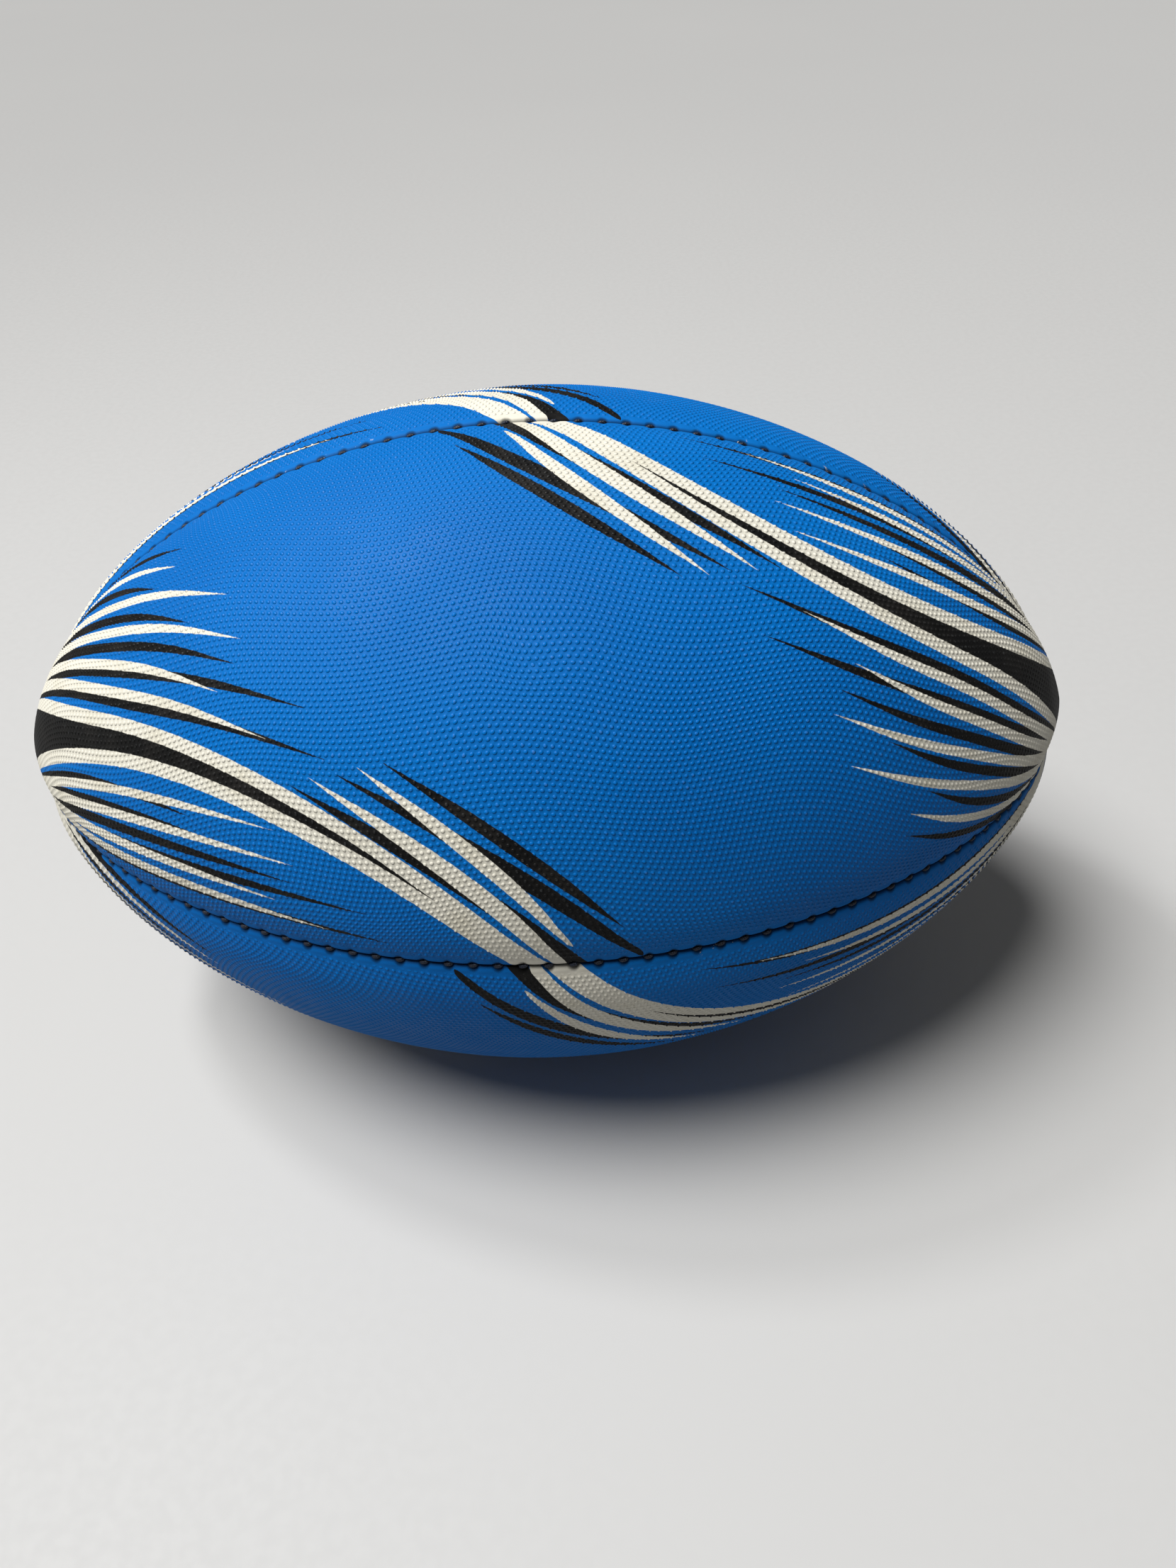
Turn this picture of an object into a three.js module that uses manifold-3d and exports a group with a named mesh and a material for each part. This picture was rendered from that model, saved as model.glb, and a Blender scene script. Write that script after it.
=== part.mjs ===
// A hand-stitched, four-panel training rugby ball, in millimetres, +Z up, long axis along X.
// It rests on the two panels either side of its bottom seam, with the floor at z = 0.
// From outside in: pimpled rubber skins, laminated fabric backings, an air bladder and its valve.
// The edges of the panels turn inwards and are stitched together, lip against lip.

import * as THREE from 'three';
import { mergeVertices } from 'three/addons/utils/BufferGeometryUtils.js';
import Module from 'manifold-3d';

const wasm = await Module();
wasm.setup();

// ---- driving dimensions ----

const HALF_LENGTH = 139.2; // centre to the point where the four panels would meet
const RADIUS = 89; // at the ball's waist
const NOSE_POWER = 1.953; // r = RADIUS * (1 - (x / HALF_LENGTH) ** NOSE_POWER) ** (1 / TIP_POWER)
const TIP_POWER = 1.612;

const PANELS = 4;
const CLEARANCE = 0.3; // between pieces that touch on the real ball
const SKIN_THICKNESS = 1.2;
const BACKING_THICKNESS = 1.4;

const SEAM_DIP = 1.6; // how far a panel sinks towards its seams
const SEAM_DIP_REACH = 6;
const EDGE_RADIUS = 3.2; // outer radius of the turned-in edge
const LIP_LENGTH = 3.2; // straight flap beyond the turned-in edge
const LIP_LENGTH_AT_TIP = 0.5;
const LIP_SHARE = 0.25; // of half a panel's width, where the panel is narrow
const EDGE_RADIUS_SHARE = 0.9; // of the room beside the seam, where the panel is narrow
const INNER_EDGE_SHARE = 0.75; // how much of the edge's radius a skin's thickness may take
const SHOULDER_SHARE = 0.5; // of the way from the turned-in edge to the middle, where the panel is narrow

const SKIN_TIP_RADIUS = 2.2; // distance from the long axis where a skin ends
const BACKING_TIP_RADIUS = 7;
const THREAD_TIP_RADIUS = 7.5;
const THREAD_RADIUS = 0.45;

const REST_ACROSS = 9; // from the bottom seam to each contact patch, and to a panel's shoulder
const REST_FLAT_DEPTH = 0.3; // how far the ball's weight flattens its contact patches

const BLADDER_DEPTH = 6.4; // below the ball's outer surface, at the middle of a panel
const BLADDER_SEAM_DEPTH = 9.3; // it dips under the stitched lips
const BLADDER_DIP_REACH = 10;
const BLADDER_THICKNESS = 1;
const BLADDER_TIP_RADIUS = 2;

const VALVE_PANEL = 'back_upper';
const VALVE_RADIUS = 4.2; // the disc seen in the panel
const VALVE_TOP_DEPTH = 0.3;
const VALVE_EDGE_RADIUS = 0.5;
const VALVE_FLANGE = { radius: 10.5, top: 3.8, thickness: 1, curvature: 50 };
const VALVE_TAIL = { radius: 3, bottom: 15 };
const CORE_RADIUS = 1.7;
const CORE_LENGTH = 11;
const CORE_RECESS = 0.5;
const NEEDLE_HOLE = { radius: 0.9, depth: 8.5 };
const VALVE_DRILL = { above: 2, below: 3 }; // beyond the ball's surface and the valve's tail

// ---- fineness ----

const STATIONS = 20; // along the ball
const STATION_CROWDING = 1.35; // gathers the stations towards the tips
const CROWN_STEPS = 3; // from a panel's shoulder to its middle
const THREAD_STEPS = 44;
const THREAD_SIDES = 6;
const BLADDER_STATIONS = 14;
const BLADDER_SPOKES_PER_PANEL = 6;
const TURNED_SIDES = 24;
const TIP_TOLERANCE = 0.99; // keeps the station that lies on a layer's own tip radius

// ---- the ball's surface ----

const HALF_PANEL_ANGLE = Math.PI / PANELS;
const HALF_GAP = CLEARANCE / 2 + 0.02;

function meridian(x) {
  const u = Math.abs(x) / HALF_LENGTH;
  const bulge = 1 - u ** NOSE_POWER;
  const radius = RADIUS * bulge ** (1 / TIP_POWER);
  const fall = (RADIUS / TIP_POWER) * bulge ** (1 / TIP_POWER - 1) * NOSE_POWER * u ** (NOSE_POWER - 1);
  const slope = (-Math.sign(x) * fall) / HALF_LENGTH;
  const size = Math.hypot(1, slope);
  return { x, radius, normalX: -slope / size, normalR: 1 / size };
}

function xAtRadius(radius) {
  return HALF_LENGTH * (1 - (radius / RADIUS) ** TIP_POWER) ** (1 / NOSE_POWER);
}

// Stations run from one tip radius to the other, and lie closer together near the tips.
function stationsTo(tipRadius, count) {
  const lastAngle = Math.asin(xAtRadius(tipRadius) / HALF_LENGTH);
  const stations = [];
  for (let i = 0; i <= count; i += 1) {
    const side = (2 * i) / count - 1;
    const eased = Math.sign(side) * (1 - (1 - Math.abs(side)) ** STATION_CROWDING);
    stations.push(meridian(HALF_LENGTH * Math.sin(lastAngle * eased)));
  }
  return stations;
}

// A point `depth` below the surface, at `angle` round the long axis from straight up.
function pointBelow(station, depth, angle) {
  const radius = Math.max(station.radius - depth * station.normalR, 0);
  const x = station.x - depth * station.normalX;
  return new THREE.Vector3(x, -radius * Math.sin(angle), radius * Math.cos(angle));
}

// ---- panels ----

const seamDip = (fromSeam) => SEAM_DIP * Math.exp(-((fromSeam / SEAM_DIP_REACH) ** 2));

// Half a panel's cross-section, `layer` below its outer face, from the lip's end to the panel's middle.
// Each point is its distance from the seam, measured along the ball's surface, and its depth below it.
function halfSection(halfWidth, layer) {
  const edgeRadius = Math.min(EDGE_RADIUS, EDGE_RADIUS_SHARE * (halfWidth - HALF_GAP));
  const inset = Math.min(layer, INNER_EDGE_SHARE * edgeRadius + Math.max(layer - SKIN_THICKNESS, 0));
  const lip = THREE.MathUtils.clamp(LIP_SHARE * halfWidth, LIP_LENGTH_AT_TIP, LIP_LENGTH);
  const edgeCentre = HALF_GAP + edgeRadius;
  const edgeDepth = seamDip(HALF_GAP) + edgeRadius;
  const points = [
    [HALF_GAP + inset, edgeDepth + lip],
    [HALF_GAP + inset, edgeDepth],
  ];
  for (const turn of [Math.PI / 4, Math.PI / 2]) {
    const across = edgeCentre - (edgeRadius - inset) * Math.cos(turn);
    const depth = edgeRadius - (edgeRadius - inset) * Math.sin(turn);
    points.push([across, depth + seamDip(edgeCentre - edgeRadius * Math.cos(turn))]);
  }
  const shoulder = Math.min(REST_ACROSS, edgeCentre + SHOULDER_SHARE * (halfWidth - edgeCentre));
  for (let step = 0; step <= CROWN_STEPS; step += 1) {
    const across = shoulder + (step / CROWN_STEPS) * (halfWidth - shoulder);
    points.push([across, inset + seamDip(across)]);
  }
  return points;
}

function panelFace(stations, layer, middleAngle) {
  return stations.map((station) => {
    const half = halfSection(station.radius * HALF_PANEL_ANGLE, layer);
    const place = (side) => ([across, depth]) => {
      const radius = station.radius - depth * station.normalR;
      const leastAngle = Math.asin(Math.min(HALF_GAP / radius, 1));
      const fromSeam = Math.max(across / station.radius, leastAngle);
      return pointBelow(station, depth, middleAngle + side * (fromSeam - HALF_PANEL_ANGLE));
    };
    const near = half.map(place(1));
    const far = half.slice(0, -1).map(place(-1)).reverse();
    return [...near, ...far];
  });
}

// The closed solid between two grids of points of the same size.
function solidBetween(outer, inner) {
  const rows = outer.length;
  const columns = outer[0].length;
  const positions = [];
  for (const point of [...outer.flat(), ...inner.flat()]) {
    positions.push(point.x, point.y, point.z);
  }
  const outerAt = (i, j) => i * columns + j;
  const innerAt = (i, j) => rows * columns + i * columns + j;
  const indices = [];
  const quad = (a, b, c, d) => indices.push(a, c, b, a, d, c);
  for (let i = 0; i < rows - 1; i += 1) {
    for (let j = 0; j < columns - 1; j += 1) {
      quad(outerAt(i, j), outerAt(i + 1, j), outerAt(i + 1, j + 1), outerAt(i, j + 1));
      quad(innerAt(i, j), innerAt(i, j + 1), innerAt(i + 1, j + 1), innerAt(i + 1, j));
    }
    quad(outerAt(i, 0), innerAt(i, 0), innerAt(i + 1, 0), outerAt(i + 1, 0));
    const last = columns - 1;
    quad(outerAt(i, last), outerAt(i + 1, last), innerAt(i + 1, last), innerAt(i, last));
  }
  for (let j = 0; j < columns - 1; j += 1) {
    quad(outerAt(0, j), outerAt(0, j + 1), innerAt(0, j + 1), innerAt(0, j));
    quad(outerAt(rows - 1, j), innerAt(rows - 1, j), innerAt(rows - 1, j + 1), outerAt(rows - 1, j + 1));
  }
  const geometry = new THREE.BufferGeometry();
  geometry.setAttribute('position', new THREE.Float32BufferAttribute(positions, 3));
  geometry.setIndex(indices);
  return geometry;
}

// All layers share the skin's stations, so that their facets stay parallel.
function panelLayer(top, bottom, tipRadius, middleAngle) {
  const stations = stationsTo(SKIN_TIP_RADIUS, STATIONS).filter(
    (station) => station.radius > TIP_TOLERANCE * tipRadius
  );
  return solidBetween(panelFace(stations, top, middleAngle), panelFace(stations, bottom, middleAngle));
}

// ---- booleans ----

function toSolid(geometry) {
  const bare = geometry.clone();
  bare.deleteAttribute('normal');
  bare.deleteAttribute('uv');
  const merged = mergeVertices(bare, 1e-4);
  const mesh = new wasm.Mesh({
    numProp: 3,
    vertProperties: new Float32Array(merged.attributes.position.array),
    triVerts: new Uint32Array(merged.index.array),
  });
  return new wasm.Manifold(mesh);
}

function toGeometry(solid) {
  const mesh = solid.getMesh();
  const geometry = new THREE.BufferGeometry();
  geometry.setAttribute('position', new THREE.Float32BufferAttribute(mesh.vertProperties, 3));
  geometry.setIndex(Array.from(mesh.triVerts));
  return geometry;
}

const cut = (geometry, cutter) => toGeometry(toSolid(geometry).subtract(toSolid(cutter)));

// ---- where the ball rests ----

const FLOOR_THICKNESS = 10;
const REST_HEIGHT = (RADIUS - seamDip(REST_ACROSS)) * Math.cos(REST_ACROSS / RADIUS) - REST_FLAT_DEPTH;

function floorCutter() {
  const block = new THREE.BoxGeometry(2 * HALF_LENGTH, 2 * RADIUS, FLOOR_THICKNESS);
  return block.translate(0, 0, -REST_HEIGHT - FLOOR_THICKNESS / 2);
}

// ---- stitching: one waxed thread along each seam, in the groove between the turned edges ----

function seamThread(seamAngle) {
  const reach = EDGE_RADIUS + THREAD_RADIUS + CLEARANCE;
  const rise = Math.sqrt(reach ** 2 - (EDGE_RADIUS + HALF_GAP) ** 2);
  const depth = SEAM_DIP + EDGE_RADIUS - rise;
  const points = stationsTo(THREAD_TIP_RADIUS, 2 * STATIONS).map((station) =>
    pointBelow(station, depth, seamAngle)
  );
  const section = new THREE.Shape();
  for (let side = 0; side < THREAD_SIDES; side += 1) {
    const turn = (side / THREAD_SIDES) * 2 * Math.PI;
    const corner = [THREAD_RADIUS * Math.cos(turn), THREAD_RADIUS * Math.sin(turn)];
    if (side === 0) {
      section.moveTo(...corner);
    } else {
      section.lineTo(...corner);
    }
  }
  section.closePath();
  const extrudePath = new THREE.CatmullRomCurve3(points);
  return new THREE.ExtrudeGeometry(section, { steps: THREAD_STEPS, extrudePath });
}

// ---- bladder: a thin hollow bag that the air presses against the backings ----

function bladderSurface(extraDepth) {
  const spokes = PANELS * BLADDER_SPOKES_PER_PANEL;
  const stations = stationsTo(BLADDER_TIP_RADIUS, BLADDER_STATIONS);
  const positions = [];
  for (const station of stations) {
    for (let spoke = 0; spoke < spokes; spoke += 1) {
      const angle = (spoke / spokes) * 2 * Math.PI;
      const step = spoke % BLADDER_SPOKES_PER_PANEL;
      const fromSeam = Math.min(step, BLADDER_SPOKES_PER_PANEL - step) / BLADDER_SPOKES_PER_PANEL;
      const across = fromSeam * 2 * HALF_PANEL_ANGLE * station.radius;
      const dip = (BLADDER_SEAM_DEPTH - BLADDER_DEPTH) * Math.exp(-((across / BLADDER_DIP_REACH) ** 2));
      const point = pointBelow(station, BLADDER_DEPTH + dip + extraDepth, angle);
      positions.push(point.x, point.y, point.z);
    }
  }
  const rows = stations.length;
  const endX = HALF_LENGTH - BLADDER_SEAM_DEPTH - extraDepth;
  positions.push(-endX, 0, 0, endX, 0, 0);
  const startPole = rows * spokes;
  const endPole = startPole + 1;
  const indices = [];
  for (let spoke = 0; spoke < spokes; spoke += 1) {
    const next = (spoke + 1) % spokes;
    for (let row = 0; row < rows - 1; row += 1) {
      const here = row * spokes;
      const there = here + spokes;
      indices.push(here + spoke, there + next, there + spoke);
      indices.push(here + spoke, here + next, there + next);
    }
    const lastRow = (rows - 1) * spokes;
    indices.push(startPole, next, spoke);
    indices.push(endPole, lastRow + spoke, lastRow + next);
  }
  const geometry = new THREE.BufferGeometry();
  geometry.setAttribute('position', new THREE.Float32BufferAttribute(positions, 3));
  geometry.setIndex(indices);
  return geometry;
}

// ---- valve: turned shapes about the radial line through the middle of its panel ----

// A closed turned solid from [radius, depth] points, standing on the ball's surface at `angle`.
function turned(profile, angle) {
  const points = profile.map(([radius, depth]) => new THREE.Vector2(radius, RADIUS - depth));
  const lathe = new THREE.LatheGeometry(points.reverse(), TURNED_SIDES);
  lathe.rotateX(Math.PI / 2);
  return toGeometry(toSolid(lathe.rotateX(angle)));
}

const sag = (radius) => radius ** 2 / (2 * VALVE_FLANGE.curvature);

function valveBody(angle) {
  const bore = CORE_RADIUS + CLEARANCE;
  const flangeTop = VALVE_FLANGE.top;
  const flangeBottom = flangeTop + VALVE_FLANGE.thickness;
  const rim = VALVE_FLANGE.radius;
  const middle = (rim + VALVE_RADIUS) / 2;
  const profile = [
    [bore, VALVE_TOP_DEPTH],
    [VALVE_RADIUS - VALVE_EDGE_RADIUS, VALVE_TOP_DEPTH],
    [VALVE_RADIUS, VALVE_TOP_DEPTH + VALVE_EDGE_RADIUS],
    [VALVE_RADIUS, flangeTop + sag(VALVE_RADIUS)],
    [middle, flangeTop + sag(middle)],
    [rim, flangeTop + sag(rim) + VALVE_FLANGE.thickness / 2],
    [rim, flangeBottom + sag(rim)],
    [middle, flangeBottom + sag(middle)],
    [VALVE_TAIL.radius, flangeBottom + sag(VALVE_TAIL.radius)],
    [VALVE_TAIL.radius, VALVE_TAIL.bottom],
    [bore, VALVE_TAIL.bottom],
    [bore, VALVE_TOP_DEPTH],
  ];
  return turned(profile, angle);
}

function valveCore(angle) {
  const top = VALVE_TOP_DEPTH + CORE_RECESS;
  const profile = [
    [0, top + NEEDLE_HOLE.depth],
    [NEEDLE_HOLE.radius, top + NEEDLE_HOLE.depth],
    [NEEDLE_HOLE.radius, top],
    [CORE_RADIUS, top],
    [CORE_RADIUS, top + CORE_LENGTH],
    [0, top + CORE_LENGTH],
  ];
  return turned(profile, angle);
}

function valveDrill(radius, angle) {
  const length = VALVE_DRILL.above + VALVE_TAIL.bottom + VALVE_DRILL.below;
  const drill = new THREE.CylinderGeometry(radius, radius, length, TURNED_SIDES);
  drill.translate(0, RADIUS + VALVE_DRILL.above - length / 2, 0).rotateX(Math.PI / 2);
  return drill.rotateX(angle);
}

// ---- assembly ----

const group = new THREE.Group();

const finish = (color, roughness) => new THREE.MeshStandardMaterial({ color, roughness, metalness: 0 });

function add(name, geometry, material) {
  const mesh = new THREE.Mesh(geometry, material);
  mesh.name = name;
  mesh.position.z = REST_HEIGHT;
  group.add(mesh);
}

// Angles round the long axis from straight up, turning towards -Y, which is the ball's front.
const PANEL_MIDDLES = { front_upper: 45, front_lower: 135, back_lower: 225, back_upper: 315 };
const SEAMS = { top: 0, front: 90, bottom: 180, back: 270 };

const valveAngle = THREE.MathUtils.degToRad(PANEL_MIDDLES[VALVE_PANEL]);

for (const [place, degrees] of Object.entries(PANEL_MIDDLES)) {
  const angle = THREE.MathUtils.degToRad(degrees);
  const backingTop = SKIN_THICKNESS + CLEARANCE;
  let skin = panelLayer(0, SKIN_THICKNESS, SKIN_TIP_RADIUS, angle);
  let backing = panelLayer(backingTop, backingTop + BACKING_THICKNESS, BACKING_TIP_RADIUS, angle);
  if (place.endsWith('lower')) {
    skin = cut(skin, floorCutter());
  }
  if (place === VALVE_PANEL) {
    skin = cut(skin, valveDrill(VALVE_RADIUS + CLEARANCE, angle));
    backing = cut(backing, valveDrill(VALVE_RADIUS + CLEARANCE, angle));
  }
  add(`${place}_panel_skin`, skin, finish(0x1d74c8, 0.5));
  add(`${place}_panel_backing`, backing, finish(0xd9d2bf, 0.95));
}

for (const [place, degrees] of Object.entries(SEAMS)) {
  add(`${place}_seam_thread`, seamThread(THREE.MathUtils.degToRad(degrees)), finish(0x16324f, 0.8));
}

const bladder = toSolid(bladderSurface(0)).subtract(toSolid(bladderSurface(BLADDER_THICKNESS)));
const bladderHole = toSolid(valveDrill(VALVE_TAIL.radius + CLEARANCE, valveAngle));
add('air_bladder', toGeometry(bladder.subtract(bladderHole)), finish(0x1c1c1e, 0.6));
add('valve_body', valveBody(valveAngle), finish(0x26282b, 0.55));
add('valve_core', valveCore(valveAngle), finish(0x303236, 0.6));

export default group;
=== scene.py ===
"""A four-panel rugby ball: pimpled rubber skins, stitched seams and a print of sweeping streaks.

Panels are laid out flat first. A point on a panel is (along, across): its distance from the waist, measured
along the ball, and from the panel's middle line, measured round it, both in millimetres. The bend onto the
ball comes last. Depths are measured inwards from the ball's plain surface.
"""

import math

import bpy
import numpy as np
from mathutils import Matrix, Vector, geometry


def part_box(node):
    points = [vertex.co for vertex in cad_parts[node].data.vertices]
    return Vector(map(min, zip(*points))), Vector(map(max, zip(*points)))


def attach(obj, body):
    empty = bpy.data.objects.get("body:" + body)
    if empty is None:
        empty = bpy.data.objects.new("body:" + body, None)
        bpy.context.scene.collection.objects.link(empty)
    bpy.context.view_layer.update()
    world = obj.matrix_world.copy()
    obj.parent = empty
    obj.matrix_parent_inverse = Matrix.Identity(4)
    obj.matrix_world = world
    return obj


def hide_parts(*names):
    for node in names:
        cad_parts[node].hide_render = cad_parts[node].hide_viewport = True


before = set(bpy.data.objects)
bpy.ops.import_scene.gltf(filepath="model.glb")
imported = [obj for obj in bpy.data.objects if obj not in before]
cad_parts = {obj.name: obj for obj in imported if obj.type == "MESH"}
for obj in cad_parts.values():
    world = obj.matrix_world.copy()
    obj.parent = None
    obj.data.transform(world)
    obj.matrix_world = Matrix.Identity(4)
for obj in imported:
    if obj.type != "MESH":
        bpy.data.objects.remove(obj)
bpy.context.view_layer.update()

MM = 0.001

# ---- the ball's plain surface, as in the CAD model ----

HALF_LENGTH = 139.2
RADIUS = 89.0
NOSE_POWER = 1.953
TIP_POWER = 1.612
HALF_PANEL = math.pi / 4
CENTRE_HEIGHT = (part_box("air_bladder")[0].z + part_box("air_bladder")[1].z) / 2 / MM
TABLE_STEPS = 20001
BEND_STEP = 0.05  # along the ball, for its slope

PANELS = {"front_upper": 45, "front_lower": -45, "back_lower": -135, "back_upper": 135}
SEAMS = {"top": 90, "front": 0, "bottom": -90, "back": 180}
VALVE_PANEL = "back_upper"


def surface_table():
    """Where each distance along the ball lies: along, x and radius, from tip to tip."""
    turn = np.linspace(-math.pi / 2, math.pi / 2, TABLE_STEPS)
    x = HALF_LENGTH * np.sin(turn)
    radius = RADIUS * np.maximum(1 - np.abs(x / HALF_LENGTH) ** NOSE_POWER, 0) ** (1 / TIP_POWER)
    along = np.concatenate([[0], np.cumsum(np.hypot(np.diff(x), np.diff(radius)))])
    return along - along[-1] / 2, x, radius


ALONG, X_AT, RADIUS_AT = surface_table()
TIP_ALONG = ALONG[-1]
TIP_HALF = len(ALONG) // 2


def radius_at(along):
    return np.interp(along, ALONG, RADIUS_AT)


def half_width(along):
    return radius_at(along) * HALF_PANEL


def bend(along, angle, depth, middle):
    """Points in metres, at an angle from a panel's or seam's middle line, whose own angle is in degrees."""
    before, after = along - BEND_STEP, along + BEND_STEP
    x, radius = np.interp(along, ALONG, X_AT), radius_at(along)
    run_x = np.interp(after, ALONG, X_AT) - np.interp(before, ALONG, X_AT)
    run_r = radius_at(after) - radius_at(before)
    size = np.hypot(run_x, run_r)
    inner = np.maximum(radius - depth * run_x / size, 0)
    turn = math.radians(middle) + angle
    x = x + depth * run_r / size
    points = np.stack([x, -inner * np.cos(turn), inner * np.sin(turn) + CENTRE_HEIGHT], -1) * MM
    points[:, 2] = np.maximum(points[:, 2], 0)
    return points


# ---- a panel's skin ----

# the grip dots
PITCH = 1.5
ROW = PITCH * math.sqrt(3) / 2
DOT_RADIUS = 0.43
DOT_HEIGHT = 0.29
DOME_RADIUS = 0.47  # of the rounded shading over each dot
DOT_MARGIN = 0.2  # between the last dots and the field's edge
VALVE_MARGIN = 0.7  # of a pitch, between the valve's hole and the nearest dots' middles
DOT_DRIFT = 1.5
DRIFT_FADE = 16.0
# each wave of the drift: its size, its lengths along and across, and its start
DRIFT_ALONG = ((1.0, math.inf, 9.1, 0.8), (0.6, 13.7, 21.0, 2.1))
DRIFT_ACROSS = ((1.0, 10.3, math.inf, 1.9), (0.6, -17.0, 12.1, 0.4))
EDGE = 2.1  # from the seam to the dots' field
DOT_START = 2.2  # from the seam, where their shading begins
DOT_FULL = 3.2
TIP_BARE = 13.0
TIP_FADE = 42.0
MERGE_DISTANCE = 1e-7
RIM_SHARE = 0.995  # of the valve's hole, where its rim's chords run inside the circle

# the folded edge and the lip
EDGE_RADIUS = 1.5
FOLD_SHARE = 0.85  # of half a panel's width, where the panel is narrow
FOLD_STEPS = 6
GAP = 0.06
LIP = 2.6
LIP_SHARE = 0.25
SHORTEST_LIP = 0.4
LIP_STEPS = 3
STRIP_STEP = 0.9
TIP_HOLE = 1.2
LAST_ALONG = float(np.interp(-TIP_HOLE, -RADIUS_AT[TIP_HALF:], ALONG[TIP_HALF:]))
EDGE_FAR = 4.0

# the valley, the stitches' dimples in it and the skin's slow waves
SEAM_DIP = 1.3
SEAM_DIP_REACH = 6.5
TIP_VALLEY = 1.2
TIP_VALLEY_FROM = 140.0
STITCH_PITCH = 5.6
PUCKER = 0.5
PUCKER_REACH = 1.9
PUCKER_SHARPNESS = 2.4
UNEVEN = 0.05
UNEVEN_ALONG = 17.0
UNEVEN_ACROSS = 13.0
UNEVEN_STARTS = (1.3, 0.4)

# the valve's hole; each row of its rim is (inset, drop)
VALVE_HOLE = 5.6
RIM_SIDES = 40
VALVE_RIM = ((0.35, -0.12), (0.8, -0.16), (1.1, 0.0), (1.15, 0.7), (1.15, 1.6))

# the stitches and the tips' plugs
STITCHED_TO = 168.0
STITCH_LENGTH = 1.9
STITCH_STEPS = 11
STITCH_DEPTH = 0.5
STITCH_DIVE = 1.1
STITCH_LEAN = 0.12
THREAD_RADIUS = 0.5
THREAD_END = 0.02  # the square of a stitch's thinnest share, at its ends
PLUG_RADIUS = 2.6
PLUG_DEPTH = 1.2
PLUG_HEIGHT = 0.5  # of its radius
PLUG_SIDES = 24
PLUG_STEPS = 7
PLUG_POINT = 0.02


def seam_dip(from_seam, along=0.0):
    """The valley along a seam, which deepens near the ball's two tips."""
    near_tip = smooth(TIP_VALLEY_FROM, TIP_ALONG, np.abs(along))
    return (SEAM_DIP + TIP_VALLEY * near_tip) * np.exp(-((from_seam / SEAM_DIP_REACH) ** 2))


def field_edge(along):
    return np.maximum(half_width(along) - EDGE, 0)


def smooth(low, high, value):
    t = np.clip((value - low) / (high - low), 0, 1)
    return t * t * (3 - 2 * t)


def dot_field(hole):
    """The grip dots on their hexagonal grid: points, faces, and each point's share of a dot's height."""
    cells = {}
    rows = int(half_width(0) / ROW) + 1
    columns = int(TIP_ALONG / PITCH) + 1
    for j in range(-rows, rows + 1):
        for i in range(-columns, columns + 1):
            s, v = (i + (j % 2) / 2) * PITCH, j * ROW
            room = min(field_edge(s - PITCH / 2), field_edge(s + PITCH / 2)) - DOT_MARGIN
            if abs(v) + DOT_RADIUS <= room and math.hypot(s, v) > hole + PITCH * VALVE_MARGIN:
                cells[(i, j)] = len(cells)
    ring = [(1, 0), (0, 1), (-1, 1), (-1, 0), (-1, -1), (0, -1)]

    def neighbour(i, j, d):
        di, dj = ring[d]
        if dj and j % 2:
            di += 1
        return (i + di, j + dj)

    keys = list(cells)
    points, lift = [], []
    for i, j in keys:
        s, v = (i + (j % 2) / 2) * PITCH, j * ROW
        points.append((s, v))
        lift.append(1.0)
        for k in range(6):
            turn = math.radians(30 + 60 * k)
            points.append((s + DOT_RADIUS * math.cos(turn), v + DOT_RADIUS * math.sin(turn)))
            lift.append(0.0)
    faces = []
    for n, (i, j) in enumerate(keys):
        base = 7 * n
        for k in range(6):
            faces.append((base, base + 1 + k, base + 1 + (k + 1) % 6))
        around = [cells.get(neighbour(i, j, d)) for d in range(6)]
        for d in range(3):
            m = around[d]
            if m is not None:
                near, far = base + 1, 7 * m + 1
                a, b = near + (d - 1) % 6, far + (d + 3) % 6
                c, e = far + (d + 2) % 6, near + d
                faces.append((a, b, c))
                faces.append((a, c, e))
        for k in range(2):
            m1, m2 = around[k], around[k + 1]
            if m1 is not None and m2 is not None:
                faces.append((base + 1 + k, 7 * m1 + 1 + (k + 2) % 6, 7 * m2 + 1 + (k + 4) % 6))
    return np.array(points), np.array(faces), np.array(lift)


def dot_drift(points, hole):
    """How far the dots wander from their grid: their rows bend in slow waves, but not beside an edge."""
    along, across = points.T
    room = np.minimum(field_edge(along) - np.abs(across), np.hypot(along, across) - hole)
    drift = []
    for waves in (DRIFT_ALONG, DRIFT_ACROSS):
        drift.append(sum(size * np.sin(along / a + across / b + start) for size, a, b, start in waves))
    return DOT_DRIFT * smooth(1, DRIFT_FADE, room)[:, None] * np.stack(drift, 1)


def edge_loop(faces):
    """The edges that only one face has."""
    edges = np.concatenate([faces[:, [0, 1]], faces[:, [1, 2]], faces[:, [2, 0]]])
    key = np.sort(edges, 1)
    _, first, count = np.unique(key, axis=0, return_index=True, return_counts=True)
    return edges[first[count == 1]]


def inside(points, edges, at):
    """Whether each of `at` lies inside the polygons that the edges draw."""
    a, b = points[edges[:, 0]], points[edges[:, 1]]
    x, y = at[:, :1], at[:, 1:]
    crosses = (a[:, 1] > y) != (b[:, 1] > y)
    rise = np.where(b[:, 1] == a[:, 1], 1, b[:, 1] - a[:, 1])
    left = x < a[:, 0] + (y - a[:, 1]) * (b[:, 0] - a[:, 0]) / rise
    return (crosses & left).sum(1) % 2 == 1


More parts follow.
